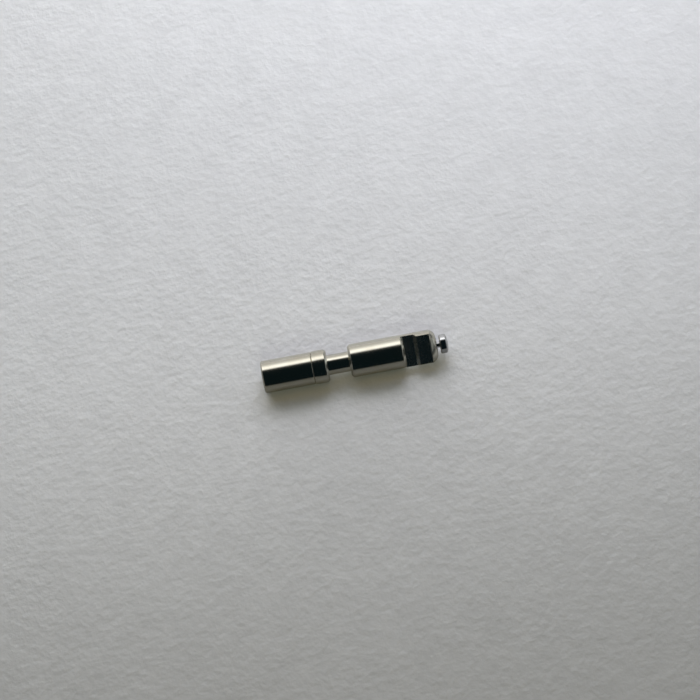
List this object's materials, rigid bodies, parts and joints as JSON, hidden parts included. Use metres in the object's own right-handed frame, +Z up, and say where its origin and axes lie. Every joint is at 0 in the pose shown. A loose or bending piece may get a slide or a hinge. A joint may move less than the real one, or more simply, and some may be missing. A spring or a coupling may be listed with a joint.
{
  "type": "telescopic watch stem",
  "caption": "Spring-loaded watch stem: a barrel for the crown, a sliding shaft with a bearing journal, a stepped key, a bevelled flange and a button-headed coupling stud.",
  "frame": {"origin": "centre of the barrel's crown-end face, on the stem's axis and at the mouth of the crown socket", "axes": "+X along the stem's axis, from the crown towards the movement; +Z up, with the stem lying on its side as in the picture; the key's flats face 50 degrees above level, towards -Y, and the opposite way"},
  "size_m": [0.0084, 0.0016, 0.0014],
  "materials": {
    "nickel": "bright, slightly warm nickel plate over a turned surface",
    "steel": "polished hardened steel, neutral grey",
    "spring_wire": "drawn spring wire"
  },
  "bodies": {
    "barrel_body": {"barrel": "nickel", "retaining_cap": "nickel", "return_spring": "spring_wire"},
    "shaft_body": {"shaft": "nickel", "drive_head": "steel", "coupling_stud": "steel"}
  },
  "joints": [
    {"name": "telescope", "type": "slide", "parent": "barrel_body", "child": "shaft_body", "axis": [-1, 0, 0], "range_m": [0, 0.0008], "stiffness_N_per_m": 130, "springref_m": -0.0006, "deforming": ["return_spring"]}
  ]
}
